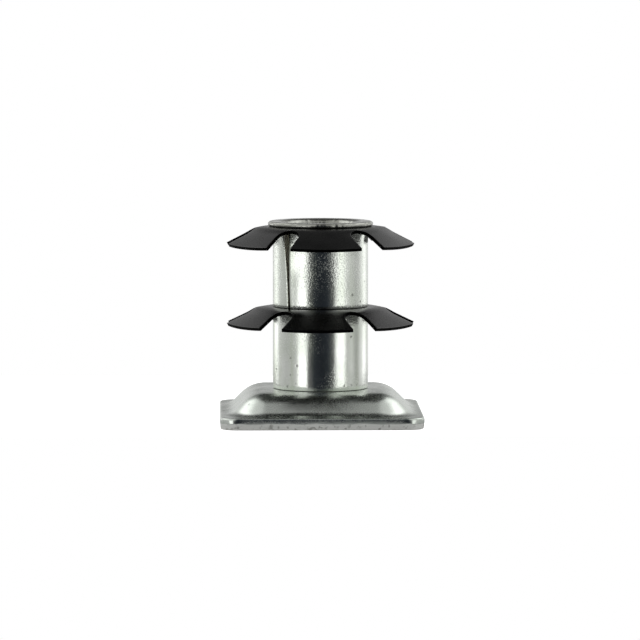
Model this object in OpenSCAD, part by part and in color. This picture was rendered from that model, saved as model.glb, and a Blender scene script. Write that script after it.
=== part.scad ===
// Threaded caster insert for the end of a square tube.
// A pressed base plate, two spacer sleeves and two star grips are riveted on one threaded barrel.
// The underside of the plate lies on z = 0, the barrel axis is the z axis, the front is towards -y.

/* [Base plate] */
// Width of the square plate, equal to the outside of the tube
plate_w = 38.1; // [36:0.1:46]
// Thickness of the pressed sheet
plate_t = 2.2; // [1.6:0.1:2.8]
// Plan radius of the plate corners
plate_corner_r = 3.4; // [2.4:0.1:6]
// Rounding of the upper edge of the plate
plate_roll_r = 0.5; // [0.2:0.05:0.8]
// Width of the flange between the fillet of the pan and the plate edge
flange_w = 0.85; // [0.8:0.05:2]
// Rise of the pan above the flange
pan_rise = 4; // [3.4:0.05:5]
// Slope of the pan wall
pan_slope = 45; // [38:1:55]
// Outside radius of the pan shoulder
pan_shoulder_r = 6; // [3.2:0.1:6.4]
// Radius of the fillet at the foot of the pan
pan_foot_r = 2.6; // [0.4:0.1:3]
// Plan radius of the pan corners at the foot
pan_corner_r = 8.2; // [7.8:0.1:9.4]

/* [Threaded barrel] */
// Major diameter of the stem thread
thread_d = 12.7; // [10:0.1:14]
// Pitch of the stem thread
thread_pitch = 1.95; // [1.25:0.05:2.2]
// Wall of the barrel outside the thread
barrel_wall = 1.15; // [0.9:0.05:1.5]
// Depth of the plain bore below the lip
relief_depth = 3.6; // [2:0.1:6]
// Thickness of the foot flange
foot_t = 2.2; // [1.5:0.1:2.6]
// Reach of the flared lip beyond the barrel
lip_over = 2.4; // [2:0.05:3]
// Height of the flared lip
lip_t = 0.95; // [0.8:0.05:1.4]
// Radius of the flare inside the lip
flare_r = 1.7; // [1:0.1:2]

/* [Spacer sleeves] */
// Wall of a rolled sleeve
sleeve_wall = 1.4; // [1.2:0.05:1.8]
// Length of the lower sleeve
lower_len = 14.8; // [10:0.05:24]
// Length of the upper sleeve
upper_len = 14.55; // [10:0.05:24]
// Edge break at both ends of a sleeve
sleeve_break = 0.2; // [0.1:0.05:0.4]
// Width of the open seam at its upper end
seam_top = 1.5; // [0.5:0.05:2]
// Width of the open seam at its lower end
seam_bottom = 0.4; // [0.1:0.05:0.8]
// Sideways shift of the seam over the length of a sleeve
seam_shift = 0.75; // [0:0.05:1.4]
// Turn of the upper seam from the front, to the left
upper_seam_angle = 43; // [0:1:180]
// Turn of the lower seam from the front, to the left
lower_seam_angle = 158; // [0:1:180]

/* [Star grips] */
// Thickness of the spring sheet
star_t = 0.65; // [0.4:0.05:0.8]
// Radius of the curve along an arm tip
star_crown_r = 34; // [20:1:60]
// Reach of the flat hub beyond the sleeves
hub_over = 0.7; // [0.5:0.05:1]
// Inside radius of the arm bends
star_bend_r = 3.8; // [2:0.1:4.5]
// Slope of the arms of the upper star
upper_arm_angle = 28; // [15:0.5:36]
// Slope of the arms of the lower star
lower_arm_angle = 26.5; // [15:0.5:36]
// Distance from the arm bends out to the notch roots
notch_out = 2.4; // [2:0.05:3]
// Half width of a notch at its root
notch_half = 2.5; // [2:0.05:3]
// Radius of the corners of a notch root
notch_r = 1.5; // [1:0.05:1.8]
// Flare of a notch side
notch_flare = 2; // [0:0.5:8]
// Turn of the upper star
upper_turn = 2.4; // [-30:0.1:30]
// Turn of the lower star
lower_turn = -3.2; // [-30:0.1:30]

/* [Fits] */
// Clearance between the barrel and the bores that slide over it
slide_gap = 0.1; // [0.05:0.01:0.2]
// Clearance between the foot flange and the curve of the pan
foot_gap = 0.6; // [0.3:0.05:1]
// Clearance of the plain bore over the stem thread
relief_gap = 0.05; // [0:0.01:0.1]
// Wall of the tube that the stars grip
tube_wall = 1.65; // [1.2:0.05:2.4]
// Clearance between the tube and the middle of an arm tip
tip_gap = 0.25; // [0:0.05:0.5]

/* [Hidden] */
$fn = 96;
arms = 6;
arm_pitch = 360 / arms;
plate_half = plate_w / 2;
pan_half = plate_half - flange_w;
pan_top = plate_t + pan_rise;
pan_ceiling = pan_top - plate_t;
minor_r = (thread_d - thread_pitch) / 2;
relief_r = thread_d / 2 + relief_gap;
barrel_r = thread_d / 2 + barrel_wall;
bore_r = barrel_r + slide_gap;
sleeve_r = bore_r + sleeve_wall;
lip_r = barrel_r + lip_over;
lower_star_z = pan_top + lower_len;
upper_sleeve_z = lower_star_z + star_t;
upper_star_z = upper_sleeve_z + upper_len;
lip_z = upper_star_z + star_t;
lip_top = lip_z + lip_t;
foot_z = pan_ceiling - foot_t;
// Straight part of the pan wall and its run from the shoulder to the foot
wall_len = (pan_rise - (pan_shoulder_r + pan_foot_r) * (1 - cos(pan_slope))) / sin(pan_slope);
wall_run = (pan_shoulder_r + pan_foot_r) * sin(pan_slope) + wall_len * cos(pan_slope);
// Corner centres of the swept plate edge and of the swept pan wall
edge_c = plate_half - plate_corner_r;
pan_c = pan_half - pan_corner_r;
// Pan profile, measured outwards from its corner centre
shoulder_u = pan_corner_r - wall_run;
shoulder_z = pan_top - pan_shoulder_r;
foot_fillet_z = plate_t + pan_foot_r;
foot_r = pan_half - wall_run - foot_gap;
// Overlap that joins the parts of one pressing
lap = 0.3;
star_tip_r = plate_half - tube_wall - tip_gap;
star_flat = sleeve_r + hub_over;
notch_at = star_flat + notch_out;
star_reach = star_tip_r + star_crown_r / 10;

zinc = [0.76, 0.78, 0.77];
black_steel = [0.14, 0.15, 0.16];

// Point at a radius and an angle round a centre
function polar(centre, radius, angle) = centre + radius * [cos(angle), sin(angle)];

// Flat square with rounded corners
module rounded_square(half, radius) {
  flat = half - radius;
  square([half * 2, flat * 2], center = true);
  square([flat * 2, half * 2], center = true);
  for (sx = [-1, 1], sy = [-1, 1])
    translate([sx * flat, sy * flat])
      circle(radius);
}

// Carries a profile round the sides and corners of a square, its corner centres at a given reach
module sweep_square(reach) {
  for (side = [0:3])
    rotate([0, 0, side * 90]) {
      translate([reach, reach, 0])
        rotate([90, 0, 0])
          linear_extrude(reach * 2)
            children();
      translate([reach, reach, 0])
        rotate_extrude(angle = 90)
          children();
    }
}

// Everything below one face of the pan, from its top over the shoulder and down to the flange
module below_pan(shoulder_r, fillet_r, depth) {
  shoulder = [shoulder_u, shoulder_z];
  foot = [pan_corner_r, foot_fillet_z];
  up = 90 - pan_slope;
  top = shoulder_z + shoulder_r;
  base = foot_fillet_z - fillet_r;
  fold = [shoulder_u + shoulder_r * tan(pan_slope / 2), top];
  end = pan_corner_r + lap;
  difference() {
    polygon([
      [0, -depth],
      [0, top],
      fold,
      polar(foot, fillet_r, 180 + up),
      [pan_corner_r, base],
      [end, base],
      [end, -depth]
    ]);
    difference() {
      polygon([shoulder, [shoulder_u, top], fold * 2 - shoulder, polar(shoulder, shoulder_r, up)]);
      translate(shoulder)
        circle(shoulder_r);
    }
    translate(foot)
      circle(fillet_r);
  }
}

// Section of the pressed sheet from the pan top to the flange
module pan_section() {
  difference() {
    below_pan(pan_shoulder_r, pan_foot_r, 0);
    below_pan(pan_shoulder_r - plate_t, pan_foot_r + plate_t, lap);
  }
}

// Section of the sheared plate edge with its rolled upper corner
module edge_section() {
  square([plate_corner_r, plate_t - plate_roll_r]);
  square([plate_corner_r - plate_roll_r, plate_t]);
  translate([plate_corner_r - plate_roll_r, plate_t - plate_roll_r])
    circle(plate_roll_r);
}

module base_plate() {
  color(zinc) {
    difference() {
      union() {
        sweep_square(edge_c)
          edge_section();
        linear_extrude(plate_t)
          square(edge_c * 2 + lap, center = true);
      }
      translate([0, 0, -lap])
        linear_extrude(plate_t + lap * 2)
          rounded_square(pan_half, pan_corner_r);
    }
    sweep_square(pan_c)
      pan_section();
    translate([0, 0, pan_ceiling])
      linear_extrude(plate_t)
        difference() {
          square(pan_c * 2 + shoulder_u, center = true);
          circle(bore_r);
        }
  }
}

// Half section of the barrel, from the foot flange up to the flared lip
module barrel_section() {
  nose_r = lip_t / 2;
  relief_z = lip_top - relief_depth;
  step_run = relief_r - minor_r;
  difference() {
    union() {
      translate([0, foot_z])
        square([foot_r, foot_t]);
      translate([0, foot_z])
        square([barrel_r, lip_top - foot_z]);
      translate([0, lip_z])
        square([lip_r - nose_r, lip_t]);
      translate([lip_r - nose_r, lip_z + nose_r])
        circle(nose_r);
    }
    square([minor_r, lip_top + lap]);
    polygon([
      [0, relief_z - step_run],
      [minor_r, relief_z - step_run],
      [relief_r, relief_z],
      [relief_r, lip_top + lap],
      [0, lip_top + lap]
    ]);
    polygon([
      [0, foot_z - lap],
      [relief_r + lap, foot_z - lap],
      [minor_r, foot_z + step_run]
    ]);
    difference() {
      translate([0, lip_top - flare_r])
        square([relief_r + flare_r, flare_r + lap]);
      translate([relief_r + flare_r, lip_top - flare_r])
        circle(flare_r);
    }
  }
}

module threaded_barrel() {
  color(zinc)
    rotate_extrude()
      barrel_section();
}

// Rolled strip sleeve of a given length standing on z = 0, its seam turned from the front
module sleeve(length, seam_angle) {
  lean = seam_shift / 2;
  rotate([0, 0, -seam_angle])
    difference() {
      rotate_extrude()
        polygon([
          [bore_r, 0],
          [sleeve_r - sleeve_break, 0],
          [sleeve_r, sleeve_break],
          [sleeve_r, length - sleeve_break],
          [sleeve_r - sleeve_break, length],
          [bore_r, length]
        ]);
      rotate([90, 0, 0])
        linear_extrude(sleeve_r * 2)
          polygon([
            [lean - seam_bottom / 2, 0],
            [lean + seam_bottom / 2, 0],
            [seam_top / 2 - lean, length],
            [-seam_top / 2 - lean, length]
          ]);
    }
}

module lower_sleeve() {
  color(zinc)
    translate([0, 0, pan_top])
      sleeve(lower_len, lower_seam_angle);
}

module upper_sleeve() {
  color(zinc)
    translate([0, 0, upper_sleeve_z])
      sleeve(upper_len, upper_seam_angle);
}

// Everything below the bent surface of one arm along the x axis, down to a given depth
module below_arm(radius, slope, depth) {
  centre = [star_flat, -star_bend_r];
  top = centre[1] + radius;
  low = 90 - slope;
  fold = [star_flat + radius * tan(slope / 2), top];
  end = fold + [sin(low), -cos(low)] * star_reach;
  back = -star_reach * 2;
  difference() {
    polygon([[back, -depth], [back, top], fold, end, [end[0], -depth]]);
    difference() {
      polygon([centre, [star_flat, top], fold * 2 - centre, polar(centre, radius, low)]);
      translate(centre)
        circle(radius);
    }
  }
}

// Everything below all six arms at once
module below_star(radius, slope, depth) {
  intersection_for(i = [0:arms - 1])
    rotate([0, 0, i * arm_pitch])
      translate([0, star_reach * 2, 0])
        rotate([90, 0, 0])
          linear_extrude(star_reach * 4)
            below_arm(radius, slope, depth);
}

// Plan of the notch between two arms, along the x axis: a flat root with round corners
module notch_plan() {
  corner = [notch_at + notch_r, notch_half - notch_r];
  edge = corner + notch_r * [-sin(notch_flare), cos(notch_flare)];
  end = edge + [cos(notch_flare), sin(notch_flare)] * star_reach;
  for (side = [-1, 1])
    translate([corner[0], side * corner[1]])
      circle(notch_r);
  polygon([
    [notch_at, -corner[1]],
    [edge[0], -edge[1]],
    [end[0], -end[1]],
    end,
    edge,
    [notch_at, corner[1]]
  ]);
}

// Plan of the star blank: crowned tips and the notches between the arms
module star_plan() {
  difference() {
    intersection_for(i = [0:arms - 1])
      rotate(i * arm_pitch)
        translate([star_tip_r - star_crown_r, 0])
          circle(star_crown_r);
    for (i = [0:arms - 1])
      rotate((i + 0.5) * arm_pitch)
        notch_plan();
    circle(bore_r);
  }
}

// Six-armed star, the underside of its hub on z = 0, one arm to the front
module star(slope) {
  depth = star_reach;
  rotate([0, 0, -90])
    difference() {
      intersection() {
        translate([0, 0, -depth + lap])
          linear_extrude(depth + star_t)
            star_plan();
        below_star(star_bend_r + star_t, slope, depth);
      }
      below_star(star_bend_r, slope, depth + lap);
    }
}

module lower_star() {
  color(black_steel)
    translate([0, 0, lower_star_z])
      rotate([0, 0, lower_turn])
        star(lower_arm_angle);
}

module upper_star() {
  color(black_steel)
    translate([0, 0, upper_star_z])
      rotate([0, 0, upper_turn])
        star(upper_arm_angle);
}

base_plate();
threaded_barrel();
lower_sleeve();
lower_star();
upper_sleeve();
upper_star();
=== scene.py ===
"""Threaded caster insert for a square tube, dressed for a studio picture."""

import math
import random

import bpy
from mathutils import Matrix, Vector


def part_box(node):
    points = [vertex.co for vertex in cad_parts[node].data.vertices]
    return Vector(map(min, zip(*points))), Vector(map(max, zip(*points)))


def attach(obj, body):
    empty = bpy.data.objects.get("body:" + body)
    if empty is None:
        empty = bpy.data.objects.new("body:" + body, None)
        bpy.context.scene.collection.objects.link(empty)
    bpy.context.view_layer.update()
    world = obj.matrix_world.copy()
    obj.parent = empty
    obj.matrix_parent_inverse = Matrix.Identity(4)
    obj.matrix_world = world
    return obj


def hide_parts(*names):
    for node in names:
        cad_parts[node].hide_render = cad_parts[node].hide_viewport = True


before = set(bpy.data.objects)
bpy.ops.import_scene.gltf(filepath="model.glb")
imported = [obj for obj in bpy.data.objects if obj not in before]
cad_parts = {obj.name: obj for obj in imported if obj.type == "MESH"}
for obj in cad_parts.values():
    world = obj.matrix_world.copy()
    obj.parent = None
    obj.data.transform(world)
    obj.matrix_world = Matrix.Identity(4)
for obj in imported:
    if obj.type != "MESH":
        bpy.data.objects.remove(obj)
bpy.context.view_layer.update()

# Base plate: a square of mild steel sheet, sheared in a blanking die, pressed up into a shallow pan
# and zinc plated. The die leaves a rolled upper edge, a burnished band and a rough break below it.
mm = 0.001
_, plate_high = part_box("base_plate")
plate_half = plate_high.x
pan_top = plate_high.z
sheet_t = 2.2 * mm
plate_corner_r = 3.4 * mm
edge_roll_r = 0.36 * mm
flat_hem = 0.04 * mm
flange_w = 0.62 * mm
pan_corner_r = 8.2 * mm
pan_shoulder_r = 6.0 * mm
pan_foot_r = 3.2 * mm
pan_slope = math.radians(45)
plate_hole_r = 7.6 * mm
break_start = 1.12 * mm
burnish_h = 0.1 * mm
break_turn = 0.03 * mm
break_turn_lean = 0.35
break_lean = 0.1 * mm
break_ripple = 0.06 * mm
break_waves = ((23, 0, 1), (41, 1.3, 0.7), (67, 0.4, 0.5))
lower_edge_r = 0.22 * mm
round_share = 0.3
corner_steps = 14
side_steps = 28
bend_steps = 9
roll_steps = 6
sharp_fold = 32


def ring_round_square(half, corner_r, height):
    """Points round a square with round corners, in the same number and order for every ring."""
    flat = half - corner_r
    points = []
    for corner in range(4):
        turn = corner * math.pi / 2
        across = math.cos(turn)
        along = math.sin(turn)
        centre = Vector((flat * (across - along), flat * (across + along), height))
        for step in range(corner_steps + 1):
            angle = turn + step / corner_steps * math.pi / 2
            points.append(centre + Vector((math.cos(angle), math.sin(angle), 0)) * corner_r)
        run = Vector((-along, across, 0)).cross(Vector((0, 0, -1))) * (2 * flat)
        side_start = points[-1]
        for step in range(1, side_steps):
            points.append(side_start + run * (step / side_steps))
    return points


def ring_circle_like(ring, radius, height):
    """A circle whose points lie in the same directions as the points of a ring."""
    return [Vector((p.x, p.y, 0)).normalized() * radius + Vector((0, 0, height)) for p in ring]


def rings_to_mesh(name, rings):
    """Joins rings of equal length into one closed skin, the last ring to the first."""
    count = len(rings[0])
    points = [p for ring in rings for p in ring]
    faces = []
    for row in range(len(rings)):
        this_row = row * count
        next_row = (row + 1) % len(rings) * count
        for i in range(count):
            j = (i + 1) % count
            faces.append((this_row + i, this_row + j, next_row + j, next_row + i))
    mesh = bpy.data.meshes.new(name)
    mesh.from_pydata(points, [], faces)
    mesh.validate()
    return mesh


def shade_by_angle(mesh, degrees):
    """Smooth shading that keeps every fold sharper than the given angle."""
    mesh.polygons.foreach_set("use_smooth", [True] * len(mesh.polygons))
    mesh.set_sharp_from_angle(angle=math.radians(degrees))


def add_piece(name, mesh, material):
    """A finished piece of the object: its mesh already lies in place."""
    piece = bpy.data.objects.new(name, mesh)
    bpy.context.scene.collection.objects.link(piece)
    mesh.materials.clear()
    mesh.materials.append(material)
    return piece


pan_half = plate_half - flange_w
pan_rise = pan_top - sheet_t
bend_drop = (pan_shoulder_r + pan_foot_r) * (1 - math.cos(pan_slope))
wall_length = (pan_rise - bend_drop) / math.sin(pan_slope)
wall_run = (pan_shoulder_r + pan_foot_r) * math.sin(pan_slope) + wall_length * math.cos(pan_slope)
shoulder_half = pan_half - wall_run


def pan_ring(reach, height):
    """A ring of the pan at a given distance out from the start of its shoulder."""
    return ring_round_square(shoulder_half + reach, pan_corner_r - wall_run + reach, height)


def pan_skin(lift, shoulder_r, foot_r):
    """Rings over one face of the pan, from the shoulder out to the foot, for sheet lying at a lift."""
    rings = []
    for step in range(bend_steps + 1):
        angle = pan_slope * step / bend_steps
        height = pan_top - pan_shoulder_r + shoulder_r * math.cos(angle)
        rings.append(pan_ring(shoulder_r * math.sin(angle), height))
    for step in range(bend_steps + 1):
        angle = pan_slope * (1 - step / bend_steps)
        height = lift + foot_r * (1 - math.cos(angle))
        rings.append(pan_ring(wall_run - foot_r * math.sin(angle), height))
    return rings


def plate_edge_ring(inset, height, ripple=0.0):
    """A ring of the sheared plate edge, its height rippled by uneven shearing."""
    ring = ring_round_square(plate_half - inset, plate_corner_r - inset, height)
    for i, point in enumerate(ring):
        turn = i / len(ring) * math.tau
        wave = sum(share * math.sin(count * turn + start) for count, start, share in break_waves)
        point.z += ripple * wave
    return ring


plate_rings = []
pan_edge = pan_ring(0, pan_top)
plate_rings.append(ring_circle_like(pan_edge, plate_hole_r, pan_top - sheet_t))
plate_rings.append(ring_circle_like(pan_edge, plate_hole_r, pan_top))
plate_rings += pan_skin(sheet_t, pan_shoulder_r, pan_foot_r)
plate_rings.append(pan_ring(wall_run + flat_hem, sheet_t))
plate_rings.append(plate_edge_ring(edge_roll_r + flat_hem, sheet_t))
roll_row = len(plate_rings)
for step in range(roll_steps + 1):
    angle = math.pi / 2 * step / roll_steps
    inset = edge_roll_r * (1 - math.sin(angle))
    plate_rings.append(plate_edge_ring(inset, sheet_t - edge_roll_r * (1 - math.cos(angle))))
plate_rings.append(plate_edge_ring(0, break_start + burnish_h, break_ripple))
plate_rings.append(plate_edge_ring(0, break_start + break_turn, break_ripple))
break_row = len(plate_rings)
break_inset = break_lean * break_turn_lean
plate_rings.append(plate_edge_ring(break_inset, break_start - break_turn, break_ripple))
plate_rings.append(plate_edge_ring(break_lean, lower_edge_r))
lower_round = lower_edge_r * round_share
plate_rings.append(plate_edge_ring(break_lean + lower_round, lower_round))
plate_rings.append(plate_edge_ring(break_lean + lower_edge_r, 0))
break_rows = range(break_row, len(plate_rings))
burnished_rows = range(break_row - 2, break_row)
corner_rows = range(roll_row, break_row)
plate_rings += reversed(pan_skin(0, pan_shoulder_r - sheet_t, pan_foot_r + sheet_t))
plate_mesh = rings_to_mesh("base_plate_skin", plate_rings)
plain_rough, burnish_rough, corner_rough, break_rough = 0.29, 0.44, 0.0, 1.0
broken = []
for row, ring in enumerate(plate_rings):
    for i in range(len(ring)):
        at_corner = i % (corner_steps + side_steps) <= corner_steps
        if row in break_rows:
            broken.append(break_rough)
        elif at_corner and row in corner_rows:
            broken.append(corner_rough)
        else:
            broken.append(burnish_rough if row in burnished_rows else plain_rough)
plate_mesh.attributes.new("fracture", "FLOAT", "POINT").data.foreach_set("value", broken)
plate_mesh.flip_normals()
shade_by_angle(plate_mesh, sharp_fold)


def add_node(tree, kind, sockets=None, **settings):
    """A node with its settings. Socket values that are outputs of other nodes are linked."""
    node = tree.nodes.new(kind)
    for key, value in settings.items():
        setattr(node, key, value)
    for key, value in (sockets or {}).items():
        if isinstance(value, bpy.types.NodeSocket):
            tree.links.new(value, node.inputs[key])
        else:
            node.inputs[key].default_value = value
    return node


def math_node(tree, operation, first, second=0.0):
    """The result of a sum with two values."""
    return add_node(tree, "ShaderNodeMath", {0: first, 1: second}, operation=operation).outputs[0]


def spread(tree, value, low, high, to_low, to_high):
    """A value carried from one range to another and held inside it."""
    sockets = {"Value": value, "From Min": low, "From Max": high, "To Min": to_low, "To Max": to_high}
    return add_node(tree, "ShaderNodeMapRange", sockets, clamp=True).outputs["Result"]


def blend(tree, share, first, second):
    """A colour between two colours."""
    sockets = {0: share, 6: first, 7: second}
    return add_node(tree, "ShaderNodeMix", sockets, data_type="RGBA").outputs[2]


def noise(tree, place, scale, detail):
    """Grain of a given number of lumps to the metre."""
    sockets = {"Vector": place, "Scale": scale, "Detail": detail, "Roughness": 0.55}
    return add_node(tree, "ShaderNodeTexNoise", sockets).outputs["Fac"]


def shader_group(name, inputs):
    """A group of nodes for a metal's skin: named inputs, and a colour, a roughness and a height out."""
    group = bpy.data.node_groups.new(name, "ShaderNodeTree")
    outputs = (("Color", "Color"), ("Roughness", "Float"), ("Height", "Float"))
    for way, sockets in (("INPUT", inputs), ("OUTPUT", outputs)):
        for socket_name, kind in sockets:
            group.interface.new_socket(socket_name, in_out=way, socket_type="NodeSocket" + kind)
    return group


zinc_sockets = (("Pale", "Color"), ("Deep", "Color"), ("Grain", "Float"), ("Pits", "Float"))
zinc = shader_group("zinc_plating", zinc_sockets)
fine_scale, lump_scale, patch_scale, worn_scale = 3600, 700, 130, 110
pit_scale, pit_where_scale = 520, 260
pit_tint = (0.16, 0.16, 0.15, 1)
zinc_in = add_node(zinc, "NodeGroupInput").outputs
zinc_place = add_node(zinc, "ShaderNodeTexCoord").outputs["Object"]
zinc_fine = noise(zinc, zinc_place, fine_scale, 2)
zinc_lumps = noise(zinc, zinc_place, lump_scale, 2)
zinc_patches = spread(zinc, noise(zinc, zinc_place, patch_scale, 4), 0.36, 0.64, 0, 1)
pit_cells = {"Vector": zinc_place, "Scale": pit_scale}
pit_cells = add_node(zinc, "ShaderNodeTexVoronoi", pit_cells).outputs["Distance"]
pit_spots = spread(zinc, pit_cells, 0.06, 0.2, 1, 0)
pit_where = spread(zinc, noise(zinc, zinc_place, pit_where_scale, 2), 0.56, 0.62, 0, 1)
zinc_pits = math_node(zinc, "MULTIPLY", pit_spots, pit_where)
zinc_pits = math_node(zinc, "MULTIPLY", zinc_pits, zinc_in["Pits"])
zinc_tint = blend(zinc, zinc_patches, zinc_in["Pale"], zinc_in["Deep"])
zinc_tint = blend(zinc, zinc_pits, zinc_tint, pit_tint)
zinc_grain = spread(zinc, noise(zinc, zinc_place, worn_scale, 1), 0.4, 0.6, 0.35, 1.15)
zinc_grain = math_node(zinc, "MULTIPLY", zinc_grain, zinc_in["Grain"])
zinc_specks = math_node(zinc, "MULTIPLY", spread(zinc, zinc_fine, 0.5, 0.68, 0, 0.2), zinc_grain)
zinc_rough = math_node(zinc, "ADD", spread(zinc, zinc_lumps, 0.35, 0.65, 0.07, 0.12), zinc_specks)
zinc_rough = math_node(zinc, "ADD", zinc_rough, math_node(zinc, "MULTIPLY", zinc_patches, 0.06))
zinc_swell = math_node(zinc, "MULTIPLY", zinc_lumps, 0.15)
zinc_height = math_node(zinc, "ADD", math_node(zinc, "MULTIPLY", zinc_fine, zinc_grain), zinc_swell)
zinc_height = math_node(zinc, "SUBTRACT", zinc_height, zinc_pits)
add_node(zinc, "NodeGroupOutput", {"Color": zinc_tint, "Roughness": zinc_rough, "Height": zinc_height})


def zinc_material(name, pale, deep, grain, pits, relief):
    """Zinc plated steel: two tints in patches, a fine grain, dark pits and a relief in metres."""
    material = bpy.data.materials.new(name)
    material.use_nodes = True
    tree = material.node_tree
    sockets = {"Pale": pale, "Deep": deep, "Grain": grain, "Pits": pits}
    plating = add_node(tree, "ShaderNodeGroup", sockets, node_tree=zinc)
    bump = add_node(tree, "ShaderNodeBump", {"Height": plating.outputs["Height"], "Distance": relief})
    shader = tree.nodes["Principled BSDF"]
    shader.inputs["Metallic"].default_value = 1
    tree.links.new(plating.outputs["Color"], shader.inputs["Base Color"])
    tree.links.new(plating.outputs["Roughness"], shader.inputs["Roughness"])
    tree.links.new(bump.outputs["Normal"], shader.inputs["Normal"])
    return material


def plating_of(material):
    """The tree and shader of a plated metal, with the sockets that feed its colour and roughness."""
    tree = material.node_tree
    shader = tree.nodes["Principled BSDF"]
    colour = shader.inputs["Base Color"].links[0].from_socket
    rough = shader.inputs["Roughness"].links[0].from_socket
    return tree, shader, colour, rough


plate_pale, plate_deep = (0.75, 0.785, 0.74, 1), (0.64, 0.685, 0.63, 1)
plate_zinc = zinc_material("plate_zinc", plate_pale, plate_deep, grain=0.3, pits=0.6, relief=0.01 * mm)
plate_tree, plate_shader, plate_plain, plate_smooth = plating_of(plate_zinc)
torn_scale = 1100
torn_pale, torn_dark = (0.9, 0.91, 0.88, 1), (0.3, 0.3, 0.27, 1)
break_dull = 0.45
fracture = add_node(plate_tree, "ShaderNodeAttribute", attribute_name="fracture").outputs["Fac"]
plate_place = add_node(plate_tree, "ShaderNodeTexCoord").outputs["Object"]
torn = spread(plate_tree, noise(plate_tree, plate_place, torn_scale, 2), 0.56, 0.7, 0, 0.6)
torn_colour = blend(plate_tree, torn, torn_pale, torn_dark)
torn_share = spread(plate_tree, fracture, plain_rough, break_rough, 0, 1)
plate_colour = blend(plate_tree, torn_share, plate_plain, torn_colour)
plate_rough = math_node(plate_tree, "MULTIPLY", fracture, break_dull)
plate_rough = math_node(plate_tree, "ADD", plate_smooth, plate_rough)
plate_tree.links.new(plate_colour, plate_shader.inputs["Base Color"])
plate_tree.links.new(plate_rough, plate_shader.inputs["Roughness"])

base_plate = add_piece("base_plate_pressing", plate_mesh, plate_zinc)
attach(base_plate, "root")
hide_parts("base_plate")

# Threaded barrel: a turned steel tube with a foot flange under the pan. Its top end is flared over
# the upper star with a press, which holds the whole stack and leaves a slightly ragged lip.
barrel_low, barrel_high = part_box("threaded_barrel")
barrel_r = 7.5 * mm
foot_r = barrel_high.x
foot_z = barrel_low.z
foot_t = 2.2 * mm
lip_top = barrel_high.z
lip_t = 0.95 * mm
lip_r = 9.9 * mm
thread_major_r = 6.35 * mm
thread_minor_r = 5.375 * mm
thread_pitch = 1.95 * mm
relief_r = 6.4 * mm
relief_depth = 3.6 * mm
relief_foot = 0.05 * mm
lead_in_h = 1.0 * mm
lead_in_w = 0.3 * mm
flare_r = 1.7 * mm
foot_edge = 0.3 * mm
lip_ragged = 0.12 * mm
lip_lift = 0.06 * mm
lip_crack = 0.09 * mm
lip_crack_turn = 0.035
lip_crack_count = 9
lip_wave_counts = (5, 9, 14, 23, 31, 47)
barrel_sides = 256
nose_steps = 8
flare_steps = 8


def turned_ring(radius, height):
    """A circle round the barrel axis."""
    turns = [i / barrel_sides * math.tau for i in range(barrel_sides)]
    return [Vector((radius * math.cos(t), radius * math.sin(t), height)) for t in turns]


lip_z = lip_top - lip_t
lip_nose = lip_t / 2
bore_top = lip_top - relief_depth
bore_foot = foot_z + lead_in_h
barrel_rings = [turned_ring(thread_major_r, bore_foot), turned_ring(relief_r + lead_in_w, foot_z)]
barrel_rings.append(turned_ring(foot_r - foot_edge, foot_z))
barrel_rings.append(turned_ring(foot_r, foot_z + foot_edge))
barrel_rings.append(turned_ring(foot_r, foot_z + foot_t))
barrel_rings.append(turned_ring(barrel_r, foot_z + foot_t))
barrel_rings.append(turned_ring(barrel_r, lip_z))
lip_noise = random.Random(11)
lip_waves = [(count, lip_noise.uniform(0, math.tau)) for count in lip_wave_counts]
lip_cracks = [lip_noise.uniform(0, math.tau) for _ in range(lip_crack_count)]


def lip_ring(radius, height, share):
    """A circle of the flared lip, made uneven by waves and by small cracks at its rim."""
    ring = turned_ring(radius, height)
    for point in ring:
        turn = math.atan2(point.y, point.x)
        wave = sum(math.sin(count * turn + start) for count, start in lip_waves) / len(lip_waves)
        aways = [math.remainder(turn - at, math.tau) / lip_crack_turn for at in lip_cracks]
        crack = max(math.exp(-(away**2)) for away in aways)
        grow = 1 + share * (lip_ragged * wave - lip_crack * crack) / radius
        point.x *= grow
        point.y *= grow
        point.z += share * lip_lift * wave
    return ring


for step in range(nose_steps + 1):
    angle = math.pi * step / nose_steps
    radius = lip_r - lip_nose + lip_nose * math.sin(angle)
    barrel_rings.append(lip_ring(radius, lip_z + lip_nose * (1 - math.cos(angle)), math.sin(angle)))
for step in range(flare_steps + 1):
    angle = math.pi / 2 * step / flare_steps
    radius = relief_r + flare_r * (1 - math.sin(angle))
    barrel_rings.append(lip_ring(radius, lip_top - flare_r * (1 - math.cos(angle)), math.sin(2 * angle)))
barrel_rings.append(turned_ring(relief_r, bore_top))
barrel_rings.append(turned_ring(thread_major_r, bore_top - relief_foot))
barrel_mesh = rings_to_mesh("threaded_barrel_skin", barrel_rings)


def named_tree(name, sockets):
    """A geometry tree with a mesh socket at both ends and named inputs, and the names' identifiers."""
    tree = bpy.data.node_groups.new(name, "GeometryNodeTree")
    tree.interface.new_socket("Mesh", in_out="INPUT", socket_type="NodeSocketGeometry")
    tree.interface.new_socket("Mesh", in_out="OUTPUT", socket_type="NodeSocketGeometry")
    keys = {}
    for socket_name, kind in sockets:
        socket = tree.interface.new_socket(socket_name, in_out="INPUT", socket_type="NodeSocket" + kind)
        keys[socket_name] = socket.identifier
    return tree, keys


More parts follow.
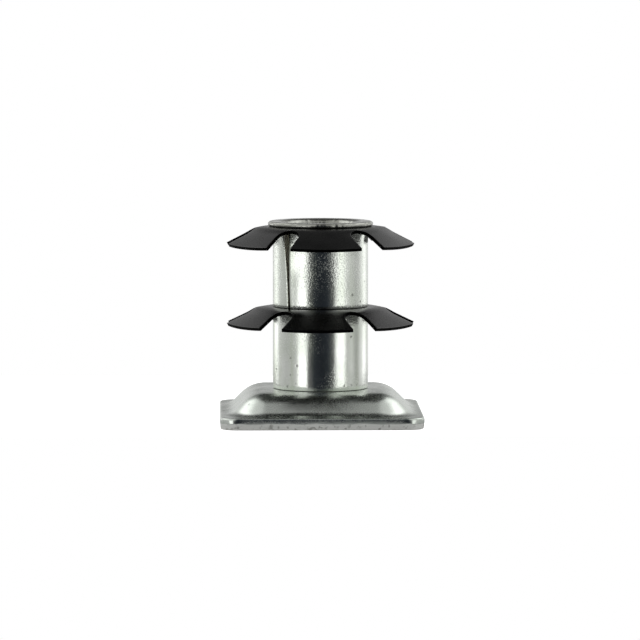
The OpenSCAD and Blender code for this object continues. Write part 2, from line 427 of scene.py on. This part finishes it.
def grown_mesh(name, start_mesh, tree, keys, values):
    """The plain mesh that a geometry tree makes from a starting mesh and named values."""
    holder = bpy.data.objects.new(name, start_mesh)
    bpy.context.scene.collection.objects.link(holder)
    modifier = holder.modifiers.new(name, "NODES")
    modifier.node_group = tree
    for key, value in values.items():
        modifier[keys[key]] = value
    solid = holder.evaluated_get(bpy.context.evaluated_depsgraph_get())
    mesh = bpy.data.meshes.new_from_object(solid)
    holder.modifiers.clear()
    bpy.data.objects.remove(holder)
    return mesh


barrel_pale, barrel_deep = (0.46, 0.465, 0.425, 1), (0.32, 0.325, 0.29, 1)
barrel_dull = 0.08
barrel_zinc = zinc_material("barrel_zinc", barrel_pale, barrel_deep, grain=0.5, pits=0.4, relief=0.02 * mm)
barrel_tree, barrel_shader, _, barrel_smooth = plating_of(barrel_zinc)
barrel_rough = math_node(barrel_tree, "ADD", barrel_smooth, barrel_dull)
barrel_tree.links.new(barrel_rough, barrel_shader.inputs["Roughness"])
thread_steps = 72
thread_bite = 0.1 * mm
ridge_root, ridge_crest = 0.92, 0.13
thread_sockets = (("Turns", "Float"), ("Pitch", "Float"), ("Crest Radius", "Float"), ("Depth", "Float"))
thread_sockets += (("Foot", "Float"), ("Metal", "Material"))
thread_tree, thread_keys = named_tree("screw_thread", thread_sockets)
thread_in = add_node(thread_tree, "NodeGroupInput").outputs
helix_r = math_node(thread_tree, "MULTIPLY", thread_in["Depth"], 0.5)
helix_r = math_node(thread_tree, "ADD", thread_in["Crest Radius"], helix_r)
helix_rise = math_node(thread_tree, "MULTIPLY", thread_in["Turns"], thread_in["Pitch"])
helix_sockets = {"Resolution": thread_steps, "Rotations": thread_in["Turns"], "Height": helix_rise}
helix_sockets.update({"Start Radius": helix_r, "End Radius": helix_r, "Reverse": True})
helix = add_node(thread_tree, "GeometryNodeCurveSpiral", helix_sockets).outputs["Curve"]
helix = add_node(thread_tree, "GeometryNodeSetCurveNormal", {"Curve": helix}, mode="Z_UP").outputs["Curve"]
ridge_sockets = {"Height": thread_in["Depth"], "Offset": 0.0}
ridge_sockets["Bottom Width"] = math_node(thread_tree, "MULTIPLY", thread_in["Pitch"], ridge_root)
ridge_sockets["Top Width"] = math_node(thread_tree, "MULTIPLY", thread_in["Pitch"], ridge_crest)
ridge = add_node(thread_tree, "GeometryNodeCurvePrimitiveQuadrilateral", ridge_sockets, mode="TRAPEZOID")
ridge_turned = {"Geometry": ridge.outputs["Curve"], "Rotation": (0, 0, math.radians(90))}
ridge_turned = add_node(thread_tree, "GeometryNodeTransform", ridge_turned).outputs["Geometry"]
ridge_swept = {"Curve": helix, "Profile Curve": ridge_turned, "Fill Caps": True}
ridge_swept = add_node(thread_tree, "GeometryNodeCurveToMesh", ridge_swept).outputs["Mesh"]
lift = add_node(thread_tree, "ShaderNodeCombineXYZ", {"Z": thread_in["Foot"]}).outputs["Vector"]
ridge_swept = add_node(thread_tree, "GeometryNodeTransform", {"Geometry": ridge_swept, "Translation": lift})
both = add_node(thread_tree, "GeometryNodeJoinGeometry")
thread_tree.links.new(ridge_swept.outputs["Geometry"], both.inputs["Geometry"])
thread_tree.links.new(thread_in["Mesh"], both.inputs["Geometry"])
real = add_node(thread_tree, "GeometryNodeRealizeInstances", {"Geometry": both.outputs["Geometry"]})
coated = {"Geometry": real.outputs["Geometry"], "Material": thread_in["Metal"]}
coated = add_node(thread_tree, "GeometryNodeSetMaterial", coated).outputs["Geometry"]
add_node(thread_tree, "NodeGroupOutput", {"Mesh": coated})
thread_foot = bore_foot + thread_pitch / 2
thread_turns = (bore_top - thread_foot - thread_pitch / 2) / thread_pitch
thread_depth = thread_major_r - thread_minor_r + thread_bite
thread_values = {"Turns": thread_turns, "Pitch": thread_pitch, "Crest Radius": thread_minor_r}
thread_values.update({"Depth": thread_depth, "Foot": thread_foot, "Metal": barrel_zinc})
barrel_mesh = grown_mesh("threaded_barrel_skin", barrel_mesh, thread_tree, thread_keys, thread_values)
shade_by_angle(barrel_mesh, sharp_fold)
threaded_barrel = add_piece("threaded_barrel_turned", barrel_mesh, barrel_zinc)
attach(threaded_barrel, "root")
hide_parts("threaded_barrel")

# Spacer sleeves: strips of steel rolled round until their ends almost meet, then zinc plated.
# The seam stays a little open and leans, and one end of the strip springs out towards the top.
sleeve_r = 9.0 * mm
sleeve_bore_r = 7.6 * mm
sleeve_break = 0.2 * mm
seam_top = 1.9 * mm
seam_bottom = 0.65 * mm
seam_opens = 0.36
seam_spring = math.radians(12.5)
seam_spring_more = math.radians(7)
spring_from, spring_to = 0.36, 0.66
seam_lean = 0.5 * mm
seam_round = ((0, 0.16 * mm), (0.05 * mm, 0.06 * mm), (0.16 * mm, 0))
sleeve_turns = {"upper_sleeve": math.radians(43.8), "lower_sleeve": math.radians(158)}
sleeve_grain = {"upper_sleeve": 1.4, "lower_sleeve": 0.85}
sleeve_pale, sleeve_deep = (0.84, 0.865, 0.82, 1), (0.72, 0.76, 0.69, 1)
streak_scale = 480
streak_long = 0.08
streak_tint = (0.63, 0.69, 0.57, 1)
sheared_tint = (0.88, 0.87, 0.78, 1)
sheared_dull = 0.6
# Painted shadow: a near-black colour laid on the bottom edge of each sleeve as the contact shadow where it
# stands on the part below, and the height that this painted shade reaches.
painted_foot_shade_tint = (0.04, 0.04, 0.035, 1)
painted_foot_shade_reach = 0.9 * sleeve_break
strip_steps = 144
strip_rows = 16


def sleeve_mesh(name, low, high, seam_turn):
    """A rolled strip between two heights, its tapered seam turned from the front to the left."""
    length = high - low
    edge_round = sleeve_break * round_share
    profile = [(sleeve_bore_r, low), (sleeve_r - sleeve_break, low)]
    profile.append((sleeve_r - edge_round, low + edge_round))
    for row in range(strip_rows + 1):
        height = low + sleeve_break + (length - 2 * sleeve_break) * row / strip_rows
        profile.append((sleeve_r, height))
    profile.append((sleeve_r - edge_round, high - edge_round))
    profile.append((sleeve_r - sleeve_break, high))
    for row in range(strip_rows):
        profile.append((sleeve_bore_r, high - length * row / strip_rows))
    sections = [(0, edge, inset) for edge, inset in seam_round]
    for step in range(1, strip_steps):
        sections.append((step / strip_steps, 0, 0))
    sections += [(1, -edge, inset) for edge, inset in reversed(seam_round)]
    middle_r = (sleeve_r + sleeve_bore_r) / 2
    points = []
    for share, edge, inset in sections:
        for radius, height in profile:
            rise = (height - low) / length
            opened = max(0, (rise - seam_opens) / (1 - seam_opens))
            gap = seam_bottom + (seam_top - seam_bottom) * opened
            centre = seam_lean * (0.5 - rise)
            start = (centre + gap / 2) / sleeve_r
            finish = math.tau + (centre - gap / 2) / sleeve_r
            turn = start + (finish - start) * share + edge / sleeve_r
            side = 1 if radius > middle_r else -1
            sprung = min(1, max(0, (rise - spring_from) / (spring_to - spring_from)))
            sprung = sprung**2 * (3 - 2 * sprung)
            flat = max(0, seam_spring + seam_spring_more * sprung - turn)
            r = radius / math.cos(flat) - side * inset
            front = turn - math.pi / 2 - seam_turn
            points.append((r * math.cos(front), r * math.sin(front), height))
    count = len(profile)
    faces = []
    for s in range(len(sections) - 1):
        for i in range(count):
            j = (i + 1) % count
            faces.append((s * count + i, (s + 1) * count + i, (s + 1) * count + j, s * count + j))
    last = (len(sections) - 1) * count
    faces.append(tuple(range(count)))
    faces.append(tuple(last + i for i in reversed(range(count))))
    mesh = bpy.data.meshes.new(name)
    mesh.from_pydata(points, [], faces)
    # Painted shadow: points just above the bottom of the strip are marked, so that the material can darken
    # them almost to black as a contact shadow.
    painted_foot_shaded = [float(z < low + painted_foot_shade_reach) for x, y, z in points]
    mesh.attributes.new("painted_foot_shade", "FLOAT", "POINT").data.foreach_set("value", painted_foot_shaded)
    # Only the two sheared ends of the strip have more than four corners.
    sheared = [float(len(face) > 4) for face in faces]
    mesh.attributes.new("sheared", "FLOAT", "FACE").data.foreach_set("value", sheared)
    mesh.validate()
    shade_by_angle(mesh, sharp_fold)
    return mesh


for node, seam_turn in sleeve_turns.items():
    low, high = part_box(node)
    skin = sleeve_mesh(node + "_skin", low.z, high.z, seam_turn)
    grain = sleeve_grain[node]
    plating = zinc_material(node + "_zinc", sleeve_pale, sleeve_deep, grain, pits=1, relief=0.03 * mm)
    plating_tree, plating_shader, plating_colour, plating_smooth = plating_of(plating)
    painted_foot_shade = add_node(plating_tree, "ShaderNodeAttribute", attribute_name="painted_foot_shade").outputs["Fac"]
    sheared = add_node(plating_tree, "ShaderNodeAttribute", attribute_name="sheared").outputs["Fac"]
    streak_place = add_node(plating_tree, "ShaderNodeTexCoord").outputs["Object"]
    streak_place = {"Vector": streak_place, "Scale": (1, 1, streak_long)}
    streak_place = add_node(plating_tree, "ShaderNodeMapping", streak_place).outputs["Vector"]
    streaks = noise(plating_tree, streak_place, streak_scale, 3)
    streaks = spread(plating_tree, streaks, 0.48, 0.66, 0, 0.6)
    plating_colour = blend(plating_tree, streaks, plating_colour, streak_tint)
    plating_colour = blend(plating_tree, sheared, plating_colour, sheared_tint)
    # Painted contact shadow: the marked bottom edge of the sleeve is mixed towards near black.
    plating_colour = blend(plating_tree, painted_foot_shade, plating_colour, painted_foot_shade_tint)
    plating_rough = math_node(plating_tree, "MULTIPLY", sheared, sheared_dull)
    plating_rough = math_node(plating_tree, "ADD", plating_smooth, plating_rough)
    plating_tree.links.new(plating_colour, plating_shader.inputs["Base Color"])
    plating_tree.links.new(plating_rough, plating_shader.inputs["Roughness"])
    sleeve = add_piece(node + "_rolled", skin, plating)
    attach(sleeve, "root")
    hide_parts(node)

# Star grips: blanked from thin spring steel, their six arms pressed down round a slightly dished hub,
# then hardened and blackened. The arms bite the inner walls of the tube.
star_t = 0.65 * mm
star_bore_r = 7.6 * mm
star_flat = 9.7 * mm
star_bend_r = 6.0 * mm
star_tip_r = 17.15 * mm
star_crown_r = 34 * mm
notch_at = 12.3 * mm
notch_half = 2.36 * mm
notch_r = 2.1 * mm
notch_flare = math.radians(2)
star_arms = 6
half_arm = math.pi / star_arms
star_slopes = {"lower_star": math.radians(29.2), "upper_star": math.radians(31)}
star_turns = {"lower_star": math.radians(-3.2), "upper_star": math.radians(2.4)}
arm_crown = 0.18 * mm
star_dish = 0.3
star_weld = 0.002 * mm
star_edge_r = 0.1 * mm
star_edge_fold = math.radians(50)
star_sharp_fold = 40
hub_steps = 14
root_steps = 6
round_steps = 12
flank_steps = 14
arm_columns = 40


def arm_outline():
    """Rows of one arm as pairs: where the row crosses the arm's axis and where it meets the arm's side."""
    ray = Vector((math.cos(half_arm), math.sin(half_arm)))
    across = Vector((ray.y, -ray.x))
    sides = []
    for step in range(hub_steps + 1):
        sides.append(ray * (star_bore_r + (notch_at - star_bore_r) * step / hub_steps))
    for step in range(1, root_steps):
        sides.append(ray * notch_at + across * ((notch_half - notch_r) * step / root_steps))
    for step in range(round_steps + 1):
        turn = (math.pi / 2 - notch_flare) * step / round_steps
        corner = ray * (notch_at + notch_r) + across * (notch_half - notch_r)
        sides.append(corner - ray * (notch_r * math.cos(turn)) + across * (notch_r * math.sin(turn)))
    flank = ray * math.cos(notch_flare) + across * math.sin(notch_flare)
    crown = Vector((star_tip_r - star_crown_r, 0))
    from_crown = sides[-1] - crown
    along = from_crown.dot(flank)
    reach = math.sqrt(along**2 - from_crown.length_squared + star_crown_r**2) - along
    flank_start = sides[-1]
    for step in range(1, flank_steps + 1):
        sides.append(flank_start + flank * (reach * step / flank_steps))
    runs = [0]
    for first, second in zip(sides, sides[1:]):
        runs.append(runs[-1] + (second - first).length)
    rows = []
    for side, run in zip(sides, runs):
        rows.append((star_bore_r + (star_tip_r - star_bore_r) * run / runs[-1], side))
    return rows


def arm_mesh(name, slope):
    """One bent arm with its share of the hub: two skins a sheet apart, closed at the cut edges."""
    rows = arm_outline()
    outer_bend = star_bend_r + star_t
    bend_run = outer_bend * math.sin(slope)
    full_bow = 1 - math.sqrt(1 - 0.5**2)
    top = []
    under = []
    for row, (middle, side) in enumerate(rows):
        for column in range(arm_columns + 1):
            across = 2 * column / arm_columns - 1
            bow = (1 - math.sqrt(1 - (across / 2) ** 2)) / full_bow
            x = middle + (side.x - middle) * bow
            y = side.y * across
            fade = 1 - min(1, max(0, (x - star_flat) / (star_tip_r - star_flat)))
            past = x + star_dish * fade * (math.hypot(x, y) - x) - star_flat
            if past <= 0:
                turn, z = 0, 0
            elif past < bend_run:
                turn = math.asin(past / outer_bend)
                z = -outer_bend * (1 - math.cos(turn))
            else:
                turn = slope
                z = -outer_bend * (1 - math.cos(slope)) - (past - bend_run) * math.tan(slope)
            z -= arm_crown * across**2 * min(1, max(0, past / bend_run))
            top.append((x, y, z))
            inward = star_t * math.sin(turn)
            shrink = (x - inward) / x if row <= hub_steps else 1
            under.append((x - inward, y * shrink, z - star_t * math.cos(turn)))
    width = arm_columns + 1
    lower = len(top)
    faces = []
    for row in range(len(rows) - 1):
        for column in range(arm_columns):
            a = row * width + column
            faces.append((a, a + width, a + width + 1, a + 1))
            faces.append((lower + a, lower + a + 1, lower + a + width + 1, lower + a + width))
    skin_faces = len(faces)
    for column in range(arm_columns):
        a = column
        b = (len(rows) - 1) * width + column
        faces.append((a, a + 1, lower + a + 1, lower + a))
        faces.append((b + 1, b, lower + b, lower + b + 1))
    for row in range(hub_steps, len(rows) - 1):
        a = row * width
        b = a + arm_columns
        faces.append((a + width, a, lower + a, lower + a + width))
        faces.append((b, b + width, lower + b + width, lower + b))
    mesh = bpy.data.meshes.new(name)
    mesh.from_pydata(top + under, [], faces)
    cut = [float(number >= skin_faces) for number in range(len(faces))]
    mesh.attributes.new("cut", "FLOAT", "FACE").data.foreach_set("value", cut)
    mesh.validate()
    return mesh


star_sockets = (("Arms", "Int"), ("Turn", "Float"), ("Height", "Float"), ("Metal", "Material"))
star_tree, star_keys = named_tree("star_arms", star_sockets)
star_in = add_node(star_tree, "NodeGroupInput").outputs
centre_at = add_node(star_tree, "ShaderNodeCombineXYZ", {"Z": star_in["Height"]}).outputs["Vector"]
hub_points = {"Count": star_in["Arms"], "Position": centre_at}
hub_points = add_node(star_tree, "GeometryNodePoints", hub_points).outputs["Points"]
arm_number = add_node(star_tree, "GeometryNodeInputIndex").outputs["Index"]
arm_pitch = math_node(star_tree, "DIVIDE", math.tau, star_in["Arms"])
arm_turn = math_node(star_tree, "MULTIPLY", arm_number, arm_pitch)
arm_turn = math_node(star_tree, "ADD", arm_turn, star_in["Turn"])
arm_turn = add_node(star_tree, "ShaderNodeCombineXYZ", {"Z": arm_turn}).outputs["Vector"]
arms = {"Points": hub_points, "Instance": star_in["Mesh"], "Rotation": arm_turn}
arms = add_node(star_tree, "GeometryNodeInstanceOnPoints", arms).outputs["Instances"]
joined = add_node(star_tree, "GeometryNodeRealizeInstances", {"Geometry": arms}).outputs["Geometry"]
joined = {"Geometry": joined, "Distance": star_weld}
joined = add_node(star_tree, "GeometryNodeMergeByDistance", joined).outputs["Geometry"]
coated = {"Geometry": joined, "Material": star_in["Metal"]}
coated = add_node(star_tree, "GeometryNodeSetMaterial", coated).outputs["Geometry"]
add_node(star_tree, "NodeGroupOutput", {"Mesh": coated})

oxide = shader_group("black_oxide", ())
oxide_fine_scale, oxide_patch_scale = 2400, 160
oxide_dark, oxide_pale = (0.002, 0.0022, 0.002, 1), (0.004, 0.0042, 0.0038, 1)
oxide_relief = 0.015 * mm
cut_tint = (0.003, 0.003, 0.003, 1)
cut_dull = 0.6
oxide_place = add_node(oxide, "ShaderNodeTexCoord").outputs["Object"]
oxide_fine = noise(oxide, oxide_place, oxide_fine_scale, 3)
oxide_patches = spread(oxide, noise(oxide, oxide_place, oxide_patch_scale, 3), 0.35, 0.65, 0, 1)
oxide_tint = blend(oxide, oxide_patches, oxide_dark, oxide_pale)
oxide_rough = spread(oxide, oxide_patches, 0, 1, 0.22, 0.3)
add_node(oxide, "NodeGroupOutput", {"Color": oxide_tint, "Roughness": oxide_rough, "Height": oxide_fine})


def black_material(name):
    """Blackened spring steel: a thin oxide with a fine grain, and dull black cut edges."""
    material = bpy.data.materials.new(name)
    material.use_nodes = True
    tree = material.node_tree
    skin = add_node(tree, "ShaderNodeGroup", node_tree=oxide).outputs
    bump = add_node(tree, "ShaderNodeBump", {"Height": skin["Height"], "Distance": oxide_relief})
    shader = tree.nodes["Principled BSDF"]
    cut = add_node(tree, "ShaderNodeAttribute", attribute_name="cut").outputs["Fac"]
    colour = blend(tree, cut, skin["Color"], cut_tint)
    rough = math_node(tree, "MULTIPLY", cut, cut_dull)
    rough = math_node(tree, "ADD", skin["Roughness"], rough)
    tree.links.new(colour, shader.inputs["Base Color"])
    tree.links.new(cut, shader.inputs["Metallic"])
    tree.links.new(rough, shader.inputs["Roughness"])
    tree.links.new(bump.outputs["Normal"], shader.inputs["Normal"])
    return material


for node, slope in star_slopes.items():
    _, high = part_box(node)
    black = black_material(node + "_black")
    front = star_turns[node] - math.pi / 2
    star_values = {"Arms": star_arms, "Turn": front, "Height": high.z, "Metal": black}
    arm = arm_mesh(node + "_arm", slope)
    skin = grown_mesh(node + "_skin", arm, star_tree, star_keys, star_values)
    star = add_piece(node + "_sprung", skin, black)
    # The rolled edges take a second material place for a moment, so that they can be marked as cut.
    rolled = star.modifiers.new("rolled_edges", "BEVEL")
    rolled.width = star_edge_r
    rolled.segments = 2
    rolled.limit_method = "ANGLE"
    rolled.angle_limit = star_edge_fold
    rolled.material = 1
    skin.materials.append(black)
    solid = star.evaluated_get(bpy.context.evaluated_depsgraph_get())
    star.data = bpy.data.meshes.new_from_object(solid)
    star.modifiers.clear()
    for face, cut in zip(star.data.polygons, star.data.attributes["cut"].data):
        cut.value = max(cut.value, face.material_index)
        face.material_index = 0
    star.data.materials.pop(index=1)
    shade_by_angle(star.data, star_sharp_fold)
    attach(star, "root")
    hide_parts(node)

# Studio: a small white table in a white room, two tall soft lights to the sides of the camera and
# darkness round the camera and above the back wall. A long lens looks along the table.
world = bpy.data.worlds.new("studio")
world.use_nodes = True
room = world.node_tree
toward = add_node(room, "ShaderNodeTexCoord").outputs["Generated"]
toward = add_node(room, "ShaderNodeSeparateXYZ", {"Vector": toward}).outputs
around = math_node(room, "ARCTAN2", toward["X"], math_node(room, "MULTIPLY", toward["Y"], -1))
around = spread(room, around, -math.pi, math.pi, 0, 1)
height = math_node(room, "DIVIDE", math_node(room, "ARCSINE", toward["Z"]), math.pi / 2)
aside = math_node(room, "ARCSINE", math_node(room, "ABSOLUTE", toward["X"]))
aside = math_node(room, "DIVIDE", aside, math.pi / 2)
over = math_node(room, "ARCTAN2", toward["Z"], math_node(room, "MULTIPLY", toward["Y"], -1))
over = math_node(room, "DIVIDE", math_node(room, "ABSOLUTE", over), math.pi)
cool_below, cool_share = 0.06, 0.3


def light_profile(value, stops):
    """Brightness along a value from 0 to 1, through stops of (value, brightness). Darkness is cool."""
    ramp = add_node(room, "ShaderNodeValToRGB", {"Fac": value})
    elements = ramp.color_ramp.elements
    while len(elements) < len(stops):
        elements.new(0.5)
    for element, (place, level) in zip(elements, stops):
        element.position = place
        cool = cool_share if level < cool_below else 0
        element.color = (level * (1 - 0.5 * cool), level, level * (1 + cool), 1)
    return ramp.outputs["Color"]


round_stops = (
    (-180, 0.6), (-154, 0.5), (-146, 1.1), (-130, 1.1), (-122, 0.48), (-103, 0.42), (-92, 0.36),
    (-66, 0.43), (-60, 0.46), (-56, 1.1), (-36, 1.1), (-31.5, 0.12), (-16, 0.02), (0, 0.012),
    (18, 0.02), (32, 0.09), (36, 0.75), (44, 1.1), (58, 1.1), (65, 0.4), (80, 0.53), (93, 0.32),
    (100, 0.34), (110, 0.54), (118, 0.62), (125, 1), (137, 1), (146, 0.6), (180, 0.6),
)
low_light = light_profile(around, [((turn + 180) / 360, level) for turn, level in round_stops])
gap_stops = (
    (0, 0.015), (0.36, 0.03), (0.41, 0.12), (0.44, 0.3), (0.49, 0.27), (0.53, 0.1), (0.58, 0.07),
    (0.7, 0.07), (0.76, 0.07), (0.82, 0.08), (0.88, 0.11), (0.96, 0.42),
)
gap_light = light_profile(over, gap_stops)
edge_stops = (
    (0, 0.34), (0.1, 0.34), (0.4, 0.12), (0.48, 0.075), (0.6, 0.15), (0.7, 0.3), (0.78, 0.35),
    (0.83, 0.24), (0.86, 0.2), (0.9, 0.12), (1, 0.08),
)
gap_edge = light_profile(over, edge_stops)
gap_inner, gap_outer = 0.4, 1.3
side_level = (0.55, 0.55, 0.55, 1)
opening = math_node(room, "DIVIDE", aside, gap_edge)
opening = spread(room, opening, gap_inner, gap_outer, 0, 1)
high_light = blend(room, opening, gap_light, side_level)
lamp_toward = (0.57, 0.46, 0.68)
lamp_edge, lamp_core = 0.92, 0.985
lamp_level = (1.25, 1.25, 1.25, 1)
mirrored = {"X": math_node(room, "ABSOLUTE", toward["X"]), "Y": toward["Y"], "Z": toward["Z"]}
mirrored = add_node(room, "ShaderNodeCombineXYZ", mirrored).outputs["Vector"]
lamp_near = {0: mirrored, 1: lamp_toward}
lamp_near = add_node(room, "ShaderNodeVectorMath", lamp_near, operation="DOT_PRODUCT").outputs["Value"]
lamp_near = spread(room, lamp_near, lamp_edge, lamp_core, 0, 1)
high_light = blend(room, lamp_near, high_light, lamp_level)
low_reach = 0.1
room_level = 1.3
above = spread(room, height, 0, low_reach, 0, 1)
room_light = blend(room, above, low_light, high_light)
seen = add_node(room, "ShaderNodeLightPath").outputs["Is Camera Ray"]
room_lit = room.nodes["Background"]
room.links.new(room_light, room_lit.inputs["Color"])
room_lit.inputs["Strength"].default_value = room_level
room_white = add_node(room, "ShaderNodeBackground", {"Color": (1, 1, 1, 1), "Strength": 1.0})
room_both = {0: seen, 1: room_lit.outputs[0], 2: room_white.outputs[0]}
room_both = add_node(room, "ShaderNodeMixShader", room_both).outputs[0]
room.links.new(room_both, room.nodes["World Output"].inputs["Surface"])
bpy.context.scene.world = world

floor_mesh = bpy.data.meshes.new("floor")
table_left, table_right, table_front, table_back = -0.07, 0.07, -0.0285, 0.09
table_top = -0.02 * mm
corners = [(table_left, table_front, table_top), (table_right, table_front, table_top)]
corners += [(table_right, table_back, table_top), (table_left, table_back, table_top)]
floor_mesh.from_pydata(corners, [], [(0, 1, 2, 3)])
floor = bpy.data.objects.new("floor", floor_mesh)
bpy.context.scene.collection.objects.link(floor)
table_white = bpy.data.materials.new("table_white")
table_white.use_nodes = True
table = table_white.node_tree
table_shader = table.nodes["Principled BSDF"]
table_shader.inputs["Base Color"].default_value = (0.8, 0.8, 0.8, 1)
table_shader.inputs["Roughness"].default_value = 0.9
table_shader.inputs["Emission Color"].default_value = (1, 1, 1, 1)
table_seen = add_node(table, "ShaderNodeLightPath").outputs["Is Camera Ray"]
table.links.new(table_seen, table_shader.inputs["Emission Strength"])
floor_mesh.materials.append(table_white)

camera_data = bpy.data.cameras.new("camera")
camera_data.sensor_width = 36
camera_data.lens = 261.1
camera_data.clip_start = 0.05
camera_data.clip_end = 20
camera = bpy.data.objects.new("camera", camera_data)
bpy.context.scene.collection.objects.link(camera)
camera_distance = 0.878
camera_rise = math.radians(4.65)
camera_turn = math.radians(-1.3)
aim = Vector((-0.085 * mm, 0, 19.02 * mm))
back = Vector((
    math.sin(camera_turn) * math.cos(camera_rise),
    -math.cos(camera_turn) * math.cos(camera_rise),
    math.sin(camera_rise),
))
camera.location = aim + back * camera_distance
camera.rotation_mode = "QUATERNION"
camera.rotation_quaternion = (-back).to_track_quat("-Z", "Y")
bpy.context.scene.camera = camera
bpy.context.scene.view_settings.view_transform = "Standard"
